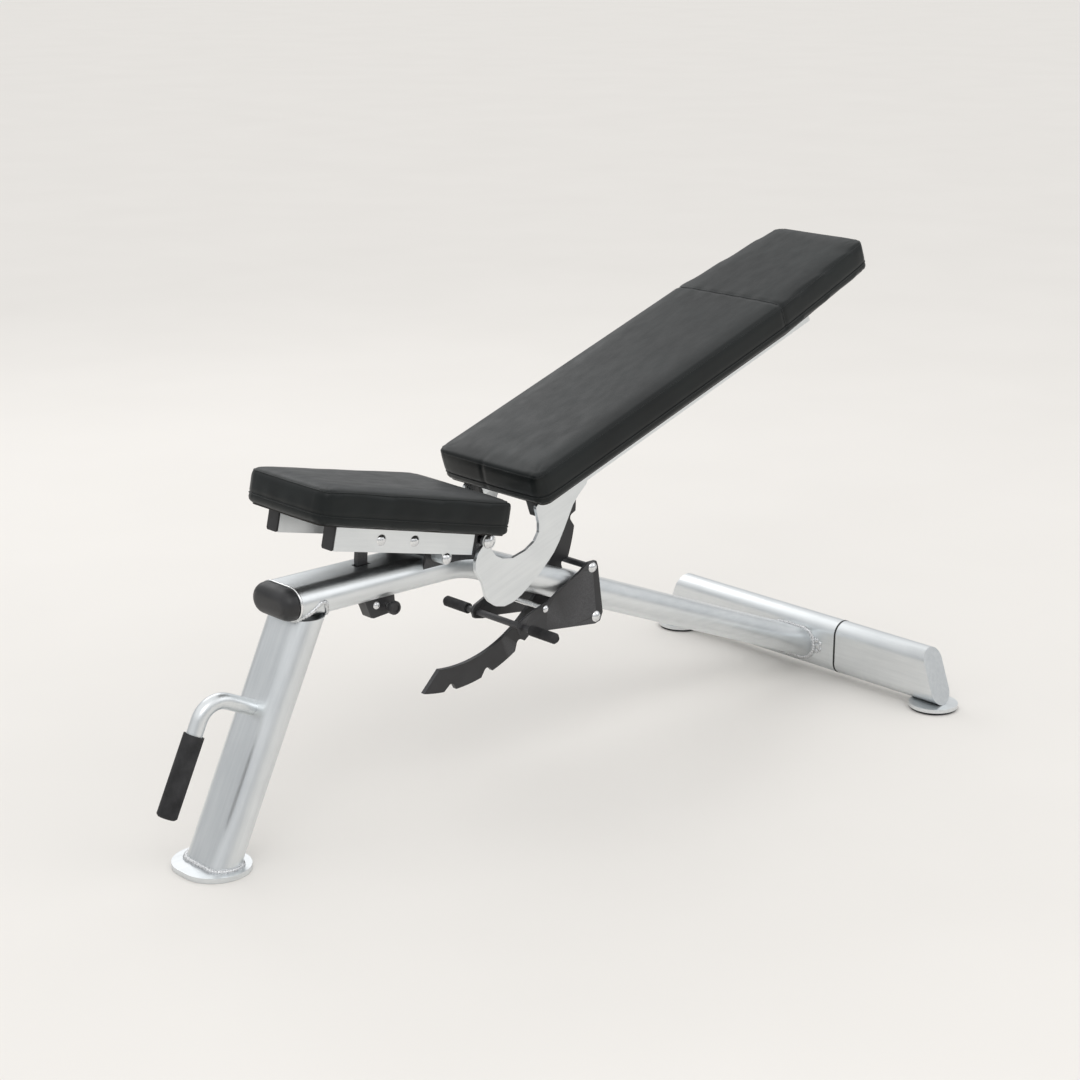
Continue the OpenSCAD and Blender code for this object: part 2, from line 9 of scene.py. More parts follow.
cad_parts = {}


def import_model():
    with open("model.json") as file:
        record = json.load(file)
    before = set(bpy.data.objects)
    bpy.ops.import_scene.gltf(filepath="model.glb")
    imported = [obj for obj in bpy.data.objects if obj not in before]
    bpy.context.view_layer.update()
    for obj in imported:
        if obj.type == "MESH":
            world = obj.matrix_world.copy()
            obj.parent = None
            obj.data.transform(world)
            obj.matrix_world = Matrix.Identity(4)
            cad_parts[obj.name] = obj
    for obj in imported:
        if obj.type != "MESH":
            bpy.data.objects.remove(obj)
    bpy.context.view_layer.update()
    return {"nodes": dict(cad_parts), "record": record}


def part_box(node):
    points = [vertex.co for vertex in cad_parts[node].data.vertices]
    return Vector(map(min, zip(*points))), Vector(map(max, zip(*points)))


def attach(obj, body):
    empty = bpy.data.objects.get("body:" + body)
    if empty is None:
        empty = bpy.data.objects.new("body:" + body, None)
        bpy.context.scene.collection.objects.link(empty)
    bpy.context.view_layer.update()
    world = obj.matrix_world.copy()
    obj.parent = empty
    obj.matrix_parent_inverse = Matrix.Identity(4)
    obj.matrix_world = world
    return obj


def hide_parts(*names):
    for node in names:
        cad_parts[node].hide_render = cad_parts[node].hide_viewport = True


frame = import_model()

NODES = frame["nodes"]

# ---------------------------------------------------------------- sizes, in metres

SEAT_TILT = math.radians(12.6)      # the seat falls towards the hinge
BACK_ANGLE = math.radians(19.7)     # the back rises towards the head end
BEAM_FALL = math.radians(21.6)
LEG_LEAN = math.radians(25.3)
TUBE_W, TUBE_H = 0.100, 0.050       # flat-oval frame tube
FLANGE_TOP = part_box("front_foot_plate")[1].z
BEAM_Z = 0.388
BEAM_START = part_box("beam")[0].x
BAR_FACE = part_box("beam")[1].x

SEAT_AT = Matrix.Translation((0.1445, 0, 0.5216)) @ Matrix.Rotation(SEAT_TILT, 4, "Y")
BACK_AT = Matrix.Translation((0.5654, 0, 0.4740)) @ Matrix.Rotation(-BACK_ANGLE, 4, "Y")
SEAT = {"len": 0.358, "half_front": 0.097, "half_rear": 0.124, "thick": 0.059}
BACK = {"len": 0.858, "half": 0.125, "half_head": 0.103, "thick": 0.060, "taper": 0.70}
BOARD = 0.012                       # board under each pad
PIPING_UP = 0.016                   # height of the piping above a pad's underside
END_SEAM_Y = 0.012                  # upright seam in the back pad's lower end
DRAW_IN = 0.0008                    # how far a cushion's edge may draw in as it swells
EVEN_ROUNDS = 8                     # times the swelling is averaged with its neighbours
SWELL_FRAMES = 12                   # frames of Cloth
VOXEL = 0.0070                      # size of a cushion's remeshed cells
GROOVE = (0.0016, 0.0035)           # depth and half width of the groove that the piping lies in
CORD_STEP = 0.006                   # distance between the points that a piping follows
CORD_REACH = 0.030                  # how far outside and inside the outline its rays start and aim
DOME_STEPS, DOME_POINTS = 12, 96    # rings of the beam's cap, and points in each

VIEW_FROM = (-1.7555, -2.6143, 1.4299)   # where the camera stands
VIEW_YAW, VIEW_DOWN, VIEW_ROLL = 42.848, 16.445, 0.157   # the way it looks, in degrees
VIEW_LENS, VIEW_SENSOR = 75.26, 36.0     # in millimetres


# ---------------------------------------------------------------- node helpers

class Graph:
    """Short calls for building one material's node tree."""

    def __init__(self, name):
        self.mat = bpy.data.materials.new(name)
        self.mat.use_nodes = True
        self.tree = self.mat.node_tree
        self.shader = self.tree.nodes["Principled BSDF"]
        self.coords = self.tree.nodes.new("ShaderNodeTexCoord").outputs["Object"]

    def node(self, kind, **values):
        made = self.tree.nodes.new(kind)
        for key, value in values.items():
            setattr(made, key, value)
        return made

    def link(self, source, target):
        self.tree.links.new(source, target)

    def placed(self, scale=(1, 1, 1), turn=(0, 0, 0)):
        """Object coordinates turned to lie along a piece, then scaled."""
        turned = self.node("ShaderNodeMapping", vector_type="POINT")
        turned.inputs["Rotation"].default_value = turn
        self.link(self.coords, turned.inputs["Vector"])
        scaled = self.node("ShaderNodeMapping", vector_type="POINT")
        scaled.inputs["Scale"].default_value = scale
        self.link(turned.outputs["Vector"], scaled.inputs["Vector"])
        return scaled.outputs["Vector"]

    def noise(self, vector, scale, detail=4.0, rough=0.55):
        made = self.node("ShaderNodeTexNoise")
        made.inputs["Scale"].default_value = scale
        made.inputs["Detail"].default_value = detail
        made.inputs["Roughness"].default_value = rough
        self.link(vector, made.inputs["Vector"])
        return made.outputs["Fac"]

    def cells(self, vector, scale, feature="F1"):
        made = self.node("ShaderNodeTexVoronoi", feature=feature)
        made.inputs["Scale"].default_value = scale
        self.link(vector, made.inputs["Vector"])
        return made.outputs["Distance"]

    def span(self, source, low, high, from_low=0.0, from_high=1.0):
        made = self.node("ShaderNodeMapRange")
        for key, value in (("From Min", from_low), ("From Max", from_high),
                           ("To Min", low), ("To Max", high)):
            made.inputs[key].default_value = value
        self.link(source, made.inputs["Value"])
        return made.outputs["Result"]

    def shade(self, source, low, high, from_low=0.3, from_high=0.7):
        """Colour running from low to high as source rises."""
        made = self.node("ShaderNodeMix", data_type="RGBA")
        made.inputs["A"].default_value = (*low, 1)
        made.inputs["B"].default_value = (*high, 1)
        self.link(self.span(source, 0, 1, from_low, from_high), made.inputs["Factor"])
        return made.outputs["Result"]

    def mixed(self, source, first, second):
        made = self.node("ShaderNodeMix", data_type="RGBA")
        self.link(source, made.inputs["Factor"])
        self.link(first, made.inputs["A"])
        self.link(second, made.inputs["B"])
        return made.outputs["Result"]

    def bump(self, height, strength, distance, under=None):
        made = self.node("ShaderNodeBump")
        made.inputs["Strength"].default_value = strength
        made.inputs["Distance"].default_value = distance
        self.link(height, made.inputs["Height"])
        if under is not None:
            self.link(under, made.inputs["Normal"])
        return made.outputs["Normal"]

    def edges(self):
        """1 along raised edges, 0 elsewhere."""
        point = self.node("ShaderNodeNewGeometry").outputs["Pointiness"]
        return self.span(point, 0, 1, 0.52, 0.62)

    def set(self, **values):
        for key, value in values.items():
            self.shader.inputs[key.replace("_", " ")].default_value = value

    def wire(self, color=None, rough=None, normal=None):
        for source, key in ((color, "Base Color"), (rough, "Roughness"), (normal, "Normal")):
            if source is not None:
                self.link(source, self.shader.inputs[key])
        return self.mat


# ---------------------------------------------------------------- materials

def zinc(name, turn=(0, 0, 0)):
    """Bright zinc plate with faint streaks along the tube. turn lays the tube along x."""
    g = Graph(name)
    streak = g.noise(g.placed((3, 50, 50), turn), 3.0, 5.0, 0.6)
    cloud = g.noise(g.placed(), 11.0, 3.0)
    crystal = g.cells(g.placed(), 380.0)
    tint = g.shade(streak, (0.66, 0.69, 0.705), (0.80, 0.825, 0.835))
    dull = g.shade(cloud, (0.70, 0.725, 0.74), (0.82, 0.84, 0.85))
    color = g.mixed(g.span(crystal, 0.40, 0.60), tint, dull)
    rough = g.span(streak, 0.29, 0.40, 0.3, 0.7)
    normal = g.bump(streak, 0.018, 0.0003)
    normal = g.bump(crystal, 0.012, 0.0002, normal)
    g.set(Metallic=1.0)
    return g.wire(color, rough, normal)


def plated(name):
    """Polished fasteners, a little worn on their edges."""
    g = Graph(name)
    fine = g.noise(g.placed(), 260.0, 3.0)
    color = g.shade(fine, (0.66, 0.67, 0.68), (0.84, 0.85, 0.86))
    color = g.mixed(g.edges(), color, g.shade(fine, (0.85, 0.85, 0.85), (0.93, 0.93, 0.93)))
    g.set(Metallic=1.0)
    return g.wire(color, g.span(fine, 0.14, 0.30, 0.3, 0.7), g.bump(fine, 0.05, 0.0002))


def powder(name):
    """Black powder coat: fine orange peel, worn to a lighter grey on its edges."""
    g = Graph(name)
    peel = g.noise(g.placed(), 520.0, 2.0)
    cloud = g.noise(g.placed(), 22.0, 4.0)
    color = g.shade(cloud, (0.010, 0.010, 0.011), (0.024, 0.024, 0.026))
    worn = g.shade(peel, (0.05, 0.05, 0.055), (0.10, 0.10, 0.105))
    color = g.mixed(g.span(g.edges(), 0.0, 0.6), color, worn)
    return g.wire(color, g.span(cloud, 0.34, 0.50, 0.3, 0.7), g.bump(peel, 0.12, 0.0003))


def moulded(name):
    """Black moulded plastic with a fine spark-eroded texture."""
    g = Graph(name)
    grain = g.cells(g.placed(), 900.0)
    cloud = g.noise(g.placed(), 30.0, 3.0)
    color = g.shade(cloud, (0.012, 0.012, 0.013), (0.028, 0.028, 0.030))
    return g.wire(color, g.span(cloud, 0.36, 0.52, 0.3, 0.7), g.bump(grain, 0.10, 0.0003))


def rubbery(name):
    """Matt black rubber, dusty in places."""
    g = Graph(name)
    grain = g.noise(g.placed(), 700.0, 4.0, 0.7)
    dust = g.noise(g.placed(), 35.0, 5.0)
    color = g.shade(dust, (0.014, 0.014, 0.015), (0.040, 0.040, 0.042))
    g.set(Specular_IOR_Level=0.3)
    return g.wire(color, g.span(grain, 0.62, 0.85, 0.3, 0.7), g.bump(grain, 0.25, 0.0004))


def vinyl(name):
    """Black upholstery vinyl: pebbled grain, soft creases, slightly green in the light."""
    g = Graph(name)
    pebble = g.cells(g.placed(), 620.0)
    crease = g.cells(g.placed(), 260.0, "DISTANCE_TO_EDGE")
    cloud = g.noise(g.placed(), 9.0, 5.0)
    wrinkle = g.noise(g.placed((1, 2.2, 1)), 26.0, 4.0, 0.6)
    color = g.shade(cloud, (0.0035, 0.0050, 0.0052), (0.0080, 0.0112, 0.0112))
    worn = g.shade(wrinkle, (0.009, 0.011, 0.011), (0.016, 0.019, 0.019))
    color = g.mixed(g.span(g.edges(), 0.0, 0.5), color, worn)
    rough = g.span(wrinkle, 0.36, 0.46, 0.3, 0.7)
    normal = g.bump(wrinkle, 0.06, 0.0008)
    normal = g.bump(pebble, 0.10, 0.0003, normal)
    normal = g.bump(g.span(crease, 0, 1, 0, 0.12), 0.08, 0.0002, normal)
    g.set(Specular_IOR_Level=0.28, Sheen_Weight=0.02, Sheen_Roughness=0.45)
    return g.wire(color, rough, normal)


def thread(name):
    """Twisted black sewing thread."""
    g = Graph(name)
    twist = g.noise(g.placed(), 1500.0, 2.0)
    color = g.shade(twist, (0.010, 0.011, 0.011), (0.030, 0.032, 0.032))
    return g.wire(color, g.span(twist, 0.45, 0.65), g.bump(twist, 0.3, 0.0003))


def lining(name):
    """Plywood board under a black woven lining."""
    g = Graph(name)
    weave = g.node("ShaderNodeTexWave", bands_direction="X")
    weave.inputs["Scale"].default_value = 260.0
    weave.inputs["Distortion"].default_value = 0.6
    g.link(g.placed(), weave.inputs["Vector"])
    cross = g.node("ShaderNodeTexWave", bands_direction="Y")
    cross.inputs["Scale"].default_value = 260.0
    cross.inputs["Distortion"].default_value = 0.6
    g.link(g.placed(), cross.inputs["Vector"])
    height = g.node("ShaderNodeMath", operation="MAXIMUM")
    g.link(weave.outputs["Fac"], height.inputs[0])
    g.link(cross.outputs["Fac"], height.inputs[1])
    cloud = g.noise(g.placed(), 18.0, 4.0)
    color = g.shade(cloud, (0.014, 0.013, 0.012), (0.034, 0.032, 0.030))
    return g.wire(color, g.span(cloud, 0.75, 0.92), g.bump(height.outputs[0], 0.3, 0.0004))


def bead_metal(name):
    """Weld metal under zinc: brighter crests, rougher valleys."""
    g = Graph(name)
    ripple = g.noise(g.placed(), 320.0, 3.0)
    color = g.shade(ripple, (0.50, 0.51, 0.52), (0.82, 0.83, 0.84))
    g.set(Metallic=1.0)
    return g.wire(color, g.span(ripple, 0.22, 0.42, 0.3, 0.7), g.bump(ripple, 0.3, 0.0006))


QUARTER = math.pi / 2
ZINC_BEAM = zinc("zinc_along_x")
ZINC_LEG = zinc("zinc_along_leg", (0, QUARTER - LEG_LEAN, 0))
ZINC_BAR = zinc("zinc_along_y", (0, 0, QUARTER))
ZINC_SEAT = zinc("zinc_along_seat", (0, -SEAT_TILT, 0))
ZINC_BACK = zinc("zinc_along_back", (0, BACK_ANGLE, 0))
PLATED = plated("plated_fastener")
POWDER = powder("black_powder_coat")
MOULDED = moulded("black_moulded_plastic")
RUBBER = rubbery("black_rubber_grain")
VINYL = vinyl("black_vinyl_grain")
THREAD = thread("black_thread")
LINING = lining("board_lining")
BEAD = bead_metal("weld_bead")

BY_SLOT = {
    "bolt_steel": PLATED,
    "black_steel": POWDER,
    "black_rubber": RUBBER,
    "black_vinyl": VINYL,
    "black_plastic": MOULDED,
    "board": LINING,
    "zinc_steel": ZINC_BEAM,
}


def zinc_for(node):
    if node.startswith(("front_leg", "lift_handle")):
        return ZINC_LEG
    if node.startswith(("crossbar", "rear_foot")):
        return ZINC_BAR
    if node.startswith("seat"):
        return ZINC_SEAT
    if node.startswith(("back", "crescent")):
        return ZINC_BACK
    return ZINC_BEAM


def dress(obj, material):
    obj.data.materials.clear()
    obj.data.materials.append(material)


def soften(obj, width):
    """Small rounded edges and smooth shading, without touching the CAD mesh itself."""
    weld = obj.modifiers.new("weld", "WELD")
    weld.merge_threshold = 2e-5
    if width > 0:
        bevel = obj.modifiers.new("bevel", "BEVEL")
        bevel.width = width
        bevel.segments = 2
        bevel.limit_method = "ANGLE"
        bevel.angle_limit = math.radians(42)
        bevel.use_clamp_overlap = True
    split = obj.modifiers.new("split", "EDGE_SPLIT")
    split.split_angle = math.radians(33)
    weighted = obj.modifiers.new("weighted", "WEIGHTED_NORMAL")
    weighted.weight = 60


EDGE_ROUND = {
    "seat_rail_front_cap_near": 0.0025, "seat_rail_front_cap_far": 0.0025,
    "seat_rail_rear_cap_near": 0.0015, "seat_rail_rear_cap_far": 0.0015,
    "back_rail_lower_cap_near": 0.0015, "back_rail_lower_cap_far": 0.0015,
    "seat_rail_near": 0.0012, "seat_rail_far": 0.0012,
    "back_rail_near": 0.0012, "back_rail_far": 0.0012,
    "crescent_plate_near": 0.0007, "crescent_plate_far": 0.0007,
    "ladder_plate": 0.0006, "lever_plate_near": 0.0006, "lever_plate_far": 0.0006,
    "seat_pin_housing": 0.0012, "front_foot_plate": 0.0015,
    "crossbar_end_plate_near": 0.0006, "crossbar_end_plate_far": 0.0006,
}

for part in frame["record"]["subparts"]:
    name = part["node"]
    slot = part["material_slot"]
    dress(NODES[name], zinc_for(name) if slot == "zinc_steel" else BY_SLOT[slot])


# ---------------------------------------------------------------- mesh helpers

def link(obj, body, material, smooth=True):
    bpy.context.scene.collection.objects.link(obj)
    dress(obj, material)
    if smooth:
        for face in obj.data.polygons:
            face.use_smooth = True
    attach(obj, body)
    return obj


def arc(cx, cy, r, a0, a1, n):
    return [(cx + r * math.cos(a0 + (a1 - a0) * i / n),
             cy + r * math.sin(a0 + (a1 - a0) * i / n)) for i in range(n + 1)]


def rounded(corners, radii, steps=8):
    """A closed convex outline with its corners rounded, anticlockwise."""
    out = []
    count = len(corners)
    for i, (corner, r) in enumerate(zip(corners, radii)):
        here = Vector(corner)
        before = (Vector(corners[i - 1]) - here).normalized()
        after = (Vector(corners[(i + 1) % count]) - here).normalized()
        half = before.angle(after) / 2
        centre = here + (before + after).normalized() * (r / math.sin(half))
        first = here + before * (r / math.tan(half)) - centre
        last = here + after * (r / math.tan(half)) - centre
        a0 = math.atan2(first.y, first.x)
        sweep = (math.atan2(last.y, last.x) - a0) % (2 * math.pi)
        out += arc(centre.x, centre.y, r, a0, a0 + sweep, steps)
    return out


def seat_outline(g):
    front, rear = SEAT["half_front"] - g, SEAT["half_rear"] - g
    return rounded([(g, -front), (SEAT["len"] - g, -rear), (SEAT["len"] - g, rear), (g, front)],
                   [0.020, 0.012, 0.012, 0.020])


def back_outline(g):
    side, head = BACK["half"] - g, BACK["half_head"] - g
    bend, end = BACK["len"] * BACK["taper"], BACK["len"] - g
    return rounded([(g, -side), (bend, -side), (end, -head), (end, head), (bend, side), (g, side)],
                   [0.019, 0.30, 0.019, 0.019, 0.30, 0.019])


def block(name, outline, z0, z1, chamfer):
    """A closed prism over an outline, its top edge broken by a rounded chamfer."""
    mesh = bpy.data.meshes.new(name)
    bm = bmesh.new()
    middle = sum((Vector(p) for p in outline), Vector((0, 0))) / len(outline)
    rings = []
    for inset, z in ((0.0, z0), (0.0, z1 - chamfer), (0.3 * chamfer, z1 - 0.3 * chamfer),
                     (chamfer, z1)):
        ring = []
        for p in outline:
            away = (middle - Vector(p))
            pulled = Vector(p) + away.normalized() * inset
            ring.append(bm.verts.new((pulled.x, pulled.y, z)))
        rings.append(ring)
    count = len(outline)
    for low, high in zip(rings, rings[1:]):
        for i in range(count):
            j = (i + 1) % count
            bm.faces.new((low[i], low[j], high[j], high[i]))
    bm.faces.new(rings[-1])
    bm.faces.new(list(reversed(rings[0])))
    bm.normal_update()
    bm.to_mesh(mesh)
    bm.free()
    return bpy.data.objects.new(name, mesh)


def swell(obj, voxel, held_below, cap, pressure=4.0):
    """Voxel remesh, then Cloth with pressure; points below held_below stay, none moves past cap.

    Only the swelling along each point's own normal is kept, evened over its neighbours, so the
    cover stays taut and the edges don't draw in.
    """
    bpy.context.scene.collection.objects.link(obj)
    remesh = obj.modifiers.new("remesh", "REMESH")
    remesh.mode = "VOXEL"
    remesh.voxel_size = voxel
    take_modifiers(obj)
    start = [(v.co.copy(), v.normal.copy()) for v in obj.data.vertices]
    held = obj.vertex_groups.new(name="held")
    for v in obj.data.vertices:
        if v.co.z < held_below:
            held.add([v.index], 1.0, "REPLACE")
    cloth = obj.modifiers.new("cloth", "CLOTH")
    settings = cloth.settings
    settings.quality = 3
    settings.mass = 0.3
    settings.tension_stiffness = 22
    settings.compression_stiffness = 22
    settings.shear_stiffness = 12
    settings.bending_stiffness = 1.2
    settings.use_pressure = True
    settings.uniform_pressure_force = pressure
    settings.vertex_group_mass = "held"
    settings.effector_weights.gravity = 0
    cloth.collision_settings.use_collision = False
    cloth.point_cache.frame_start = 1
    cloth.point_cache.frame_end = SWELL_FRAMES
    scene = bpy.context.scene
    for step in range(1, SWELL_FRAMES + 1):
        scene.frame_set(step)
    take_modifiers(obj)
    obj.vertex_groups.clear()
    scene.frame_set(1)
    push = [min(max((v.co - was).dot(out), -DRAW_IN), cap)
            for v, (was, out) in zip(obj.data.vertices, start)]
    for _ in range(EVEN_ROUNDS):
        total = list(push)
        count = [1] * len(push)
        for edge in obj.data.edges:
            a, b = edge.vertices
            total[a] += push[b]
            total[b] += push[a]
            count[a] += 1
            count[b] += 1
        push = [t / c for t, c in zip(total, count)]
    for v, (was, out), far in zip(obj.data.vertices, start, push):
        v.co = was + out * far


def take_modifiers(obj):
    """Leaves the evaluated mesh on the object and no modifiers."""
    graph = bpy.context.evaluated_depsgraph_get()
    made = bpy.data.meshes.new_from_object(obj.evaluated_get(graph))
    obj.modifiers.clear()
    old = obj.data
    obj.data = made
    bpy.data.meshes.remove(old)


def subdivided(obj):
    sub = obj.modifiers.new("sub", "SUBSURF")
    sub.levels = 1
    sub.render_levels = 1
    take_modifiers(obj)


def bell(x, width):
    return math.exp(-(x / width) ** 2)


def fill_outline(obj, points):
    """Stretches the pad evenly along and across until it fills its outline again."""
    for axis in (0, 1):
        low, high = min(p[axis] for p in points), max(p[axis] for p in points)
        at = [v.co[axis] for v in obj.data.vertices]
        least, most = min(at), max(at)
        for v in obj.data.vertices:
            v.co[axis] = low + (v.co[axis] - least) / (most - least) * (high - low)


def fit_below(obj, top):
    """Presses the crown down evenly so the pad is no thicker than its size."""
    high = max(v.co.z for v in obj.data.vertices)
    if high > top:
        for v in obj.data.vertices:
            if v.co.z > 0.5 * top:
                share = (v.co.z - 0.5 * top) / (high - 0.5 * top)
                v.co.z -= (high - top) * share


# ---------------------------------------------------------------- cushions

def corner_puckers(v, corners, depth, reach):
    """Fold height round a corner where the cover is gathered."""
    fold = 0.0
    for cx, cy in corners:
        dx, dy = v.x - cx, v.y - cy
        far = math.hypot(dx, dy)
        fold += depth * math.sin(9 * math.atan2(dy, dx)) * bell(far, reach)
    return fold


def shape_seat(obj):
    """Corner gathers and a groove under the piping line."""
    front = SEAT["half_front"] - 0.012
    rear = SEAT["half_rear"] - 0.010
    corners = [(0.012, -front), (0.012, front),
               (SEAT["len"] - 0.010, -rear), (SEAT["len"] - 0.010, rear)]
    for v in obj.data.vertices:
        normal = v.normal.copy()
        groove = GROOVE[0] * bell(v.co.z - PIPING_UP, GROOVE[1]) * (1 - abs(normal.z))
        ruck = 0.0007 * math.sin(150 * (v.co.x + v.co.y)) * bell(v.co.z - PIPING_UP - 0.010, 0.008)
        ruck *= 1 - abs(normal.z)
        v.co -= normal * (groove + ruck * 0.5 - corner_puckers(v.co, corners, 0.0005, 0.017))


def shape_back(obj):
    """Transverse seam at the head part, end seams and gathers."""
    seam = BACK["len"] * BACK["taper"]
    side = BACK["half"] - 0.012
    head = BACK["half_head"] - 0.012
    corners = [(0.012, -side), (0.012, side),
               (BACK["len"] - 0.012, -head), (BACK["len"] - 0.012, head)]
    for v in obj.data.vertices:
        normal = v.normal.copy()
        groove = GROOVE[0] * bell(v.co.z - PIPING_UP, GROOVE[1]) * (1 - abs(normal.z))
        across = 0.0015 * bell(v.co.x - seam, 0.0042) * (1.0 if v.co.z > BOARD else 0.0)
        near = bell(v.co.x - seam, 0.018)
        fold = 0.0003 * math.sin(170 * v.co.y + 6 * v.co.x) * near * max(normal.z, 0.0)
        end = 0.0014 * bell(v.co.y - END_SEAM_Y, 0.004) * max(-normal.x, 0.0)
        v.co -= normal * (groove + across + fold + end
                          - corner_puckers(v.co, corners, 0.0005, 0.019))


def cushion(name, outline, thick, inset, cap, shape, place, node, body):
    """One pad, made and swollen in its own frame and then laid in its place on the body."""
    obj = block(name, outline(inset), 0.0008, thick - 0.0035, 0.0045)
    swell(obj, VOXEL, BOARD * 0.8, cap)
    subdivided(obj)
    for v in obj.data.vertices:
        v.co.z = max(v.co.z, 0.0004)
    obj.data.update()
    fill_outline(obj, outline(0))
    obj.data.update()
    shape(obj)
    fit_below(obj, thick + 0.001)
    obj.data.update()
    for face in obj.data.polygons:
        face.use_smooth = True
    dress(obj, VINYL)
    obj.data.transform(place)
    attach(obj, body)
    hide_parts(node)
    return obj


SEAT_PAD = cushion("seat_cushion", seat_outline, SEAT["thick"], 0.0015, 0.0040, shape_seat,
                   SEAT_AT, "seat_pad", "seat")
BACK_PAD = cushion("back_cushion", back_outline, BACK["thick"], 0.0015, 0.0040, shape_back,
                   BACK_AT, "back_pad", "backrest")


def skin_points(obj, place, rays):
    """Where rays, given in the pad's own frame, meet the pad's skin, in the row frame."""
    tree = BVHTree.FromObject(obj, bpy.context.evaluated_depsgraph_get())
    out = []
    for start, way in rays:
        origin = place @ Vector(start)
        hit = tree.ray_cast(origin, (place.to_3x3() @ Vector(way)).normalized())
        if hit[0] is not None:
            out.append(hit[0] - (place.to_3x3() @ Vector(way)).normalized() * 0.0002)
    return out


def cord_along(name, points, radius, closed, body, material):
    """A thin round cord through the points, as a mesh."""
    curve = bpy.data.curves.new(name, "CURVE")
    curve.dimensions = "3D"
    curve.bevel_depth = radius
    curve.bevel_resolution = 2
    spline = curve.splines.new("POLY")
    spline.points.add(len(points) - 1)
    for target, p in zip(spline.points, points):
        target.co = (*p, 1)
    spline.use_cyclic_u = closed
    holder = bpy.data.objects.new(name + "_curve", curve)
    bpy.context.scene.collection.objects.link(holder)
    graph = bpy.context.evaluated_depsgraph_get()
    mesh = bpy.data.meshes.new_from_object(holder.evaluated_get(graph))
    bpy.data.objects.remove(holder)
    made = link(bpy.data.objects.new(name, mesh), body, material)
    return made


def dense(outline, gap):
    """The closed outline with points no further apart than gap."""
    out = []
    for i, p in enumerate(outline):
        a, b = Vector(p), Vector(outline[(i + 1) % len(outline)])
        steps = max(1, math.ceil((b - a).length / gap))
        out += [a.lerp(b, k / steps) for k in range(steps)]
    return out


def piping(name, pad, outline, place, z, body):
    """Cord round the pad's sides at one height."""
    rays = []
    core = dense(outline(CORD_REACH), CORD_STEP)
    for p in dense(outline(-CORD_REACH), CORD_STEP):
        inner = min(core, key=lambda q: (q - p).length)
        rays.append(((p.x, p.y, z), (inner.x - p.x, inner.y - p.y, 0)))
    points = skin_points(pad, place, rays)
    return cord_along(name, points, 0.0013, True, body, VINYL)


def welt(name, pad, outline, place, thick, body):
    """Fine welt along the pad's upper edge, found by looking in at 45 degrees."""
    rays = []
    core = dense(outline(CORD_REACH), CORD_STEP)
    for p in dense(outline(-CORD_REACH), CORD_STEP):
        inner = min(core, key=lambda q: (q - p).length)
        edge = p.lerp(inner, 0.5)
        away = (p - inner).normalized() * CORD_REACH
        rays.append(((edge.x + away.x, edge.y + away.y, thick + 0.026),
                     (-away.x, -away.y, -CORD_REACH)))
    points = skin_points(pad, place, rays)
    return cord_along(name, points, 0.0009, True, body, VINYL)


piping("seat_piping", SEAT_PAD, seat_outline, SEAT_AT, PIPING_UP, "seat")
piping("back_piping", BACK_PAD, back_outline, BACK_AT, PIPING_UP, "backrest")
welt("seat_welt", SEAT_PAD, seat_outline, SEAT_AT, SEAT["thick"], "seat")
welt("back_welt", BACK_PAD, back_outline, BACK_AT, BACK["thick"], "backrest")


def seam_over_back():
    """Stitch line across the back pad where the head part begins."""
    x = BACK["len"] * BACK["taper"]
    rays = []
    reach = BACK["half"] + 0.02
    for i in range(9):
        z = PIPING_UP + 0.004 + i * 0.004
        rays.append(((x, -reach, z), (0, 1, 0)))
    for i in range(61):
        y = -0.112 + 0.224 * i / 60
        rays.append(((x, y, 0.10), (0, 0, -1)))
    for i in range(9):
        z = PIPING_UP + 0.004 + (8 - i) * 0.004
        rays.append(((x, reach, z), (0, -1, 0)))
    points = skin_points(BACK_PAD, BACK_AT, rays)
    cord_along("back_seam_thread", points, 0.0006, False, "backrest", THREAD)


seam_over_back()


# ---------------------------------------------------------------- weld beads and trim

def oval_loop(w, h, n=12):
    """Points round a flat oval, as (along its width, across it)."""
    out = []
    for side in (1, -1):
        centre = side * (w - h) / 2
        a0 = -QUARTER if side > 0 else QUARTER
        out += [(centre + h / 2 * math.cos(a0 + math.pi * i / n),
                 h / 2 * math.sin(a0 + math.pi * i / n)) for i in range(n + 1)]
    return [(p.x, p.y) for p in dense(out, 0.004)]


def weld_bead(name, points, radius, body, ripple=0.0045):
    """A closed rippled bead through the points."""
    mesh = bpy.data.meshes.new(name)
    bm = bmesh.new()
    count, around = len(points), 10
    rings = []
    travelled = 0.0
    for i in range(count):
        here, ahead, behind = points[i], points[(i + 1) % count], points[i - 1]
        travelled += (here - behind).length
        along = (ahead - behind).normalized()
        side = along.cross(Vector((0.3, 0.2, 1.0))).normalized()
        up = along.cross(side)
        r = radius * (1 + 0.16 * math.sin(2 * math.pi * travelled / ripple)
                      + 0.10 * math.sin(2 * math.pi * travelled / 0.031))
        rings.append([bm.verts.new(here + r * (math.cos(2 * math.pi * k / around) * side
                                               + math.sin(2 * math.pi * k / around) * up))
                      for k in range(around)])
    for i in range(count):
        low, high = rings[i], rings[(i + 1) % count]
        for k in range(around):
            j = (k + 1) % around
            bm.faces.new((low[k], low[j], high[j], high[k]))
    bmesh.ops.recalc_face_normals(bm, faces=bm.faces)
    bm.to_mesh(mesh)
    bm.free()
    made = link(bpy.data.objects.new(name, mesh), body, BEAD)
    return made


def leg_ring(z_of, grow):
    """Points round the leg where it meets the surface z_of(y)."""
    out = []
    for y, v in oval_loop(TUBE_W + grow, TUBE_H + grow):
        z = z_of(y)
        out.append(Vector((z * math.tan(LEG_LEAN) + v / math.cos(LEG_LEAN), y, z)))
    return out


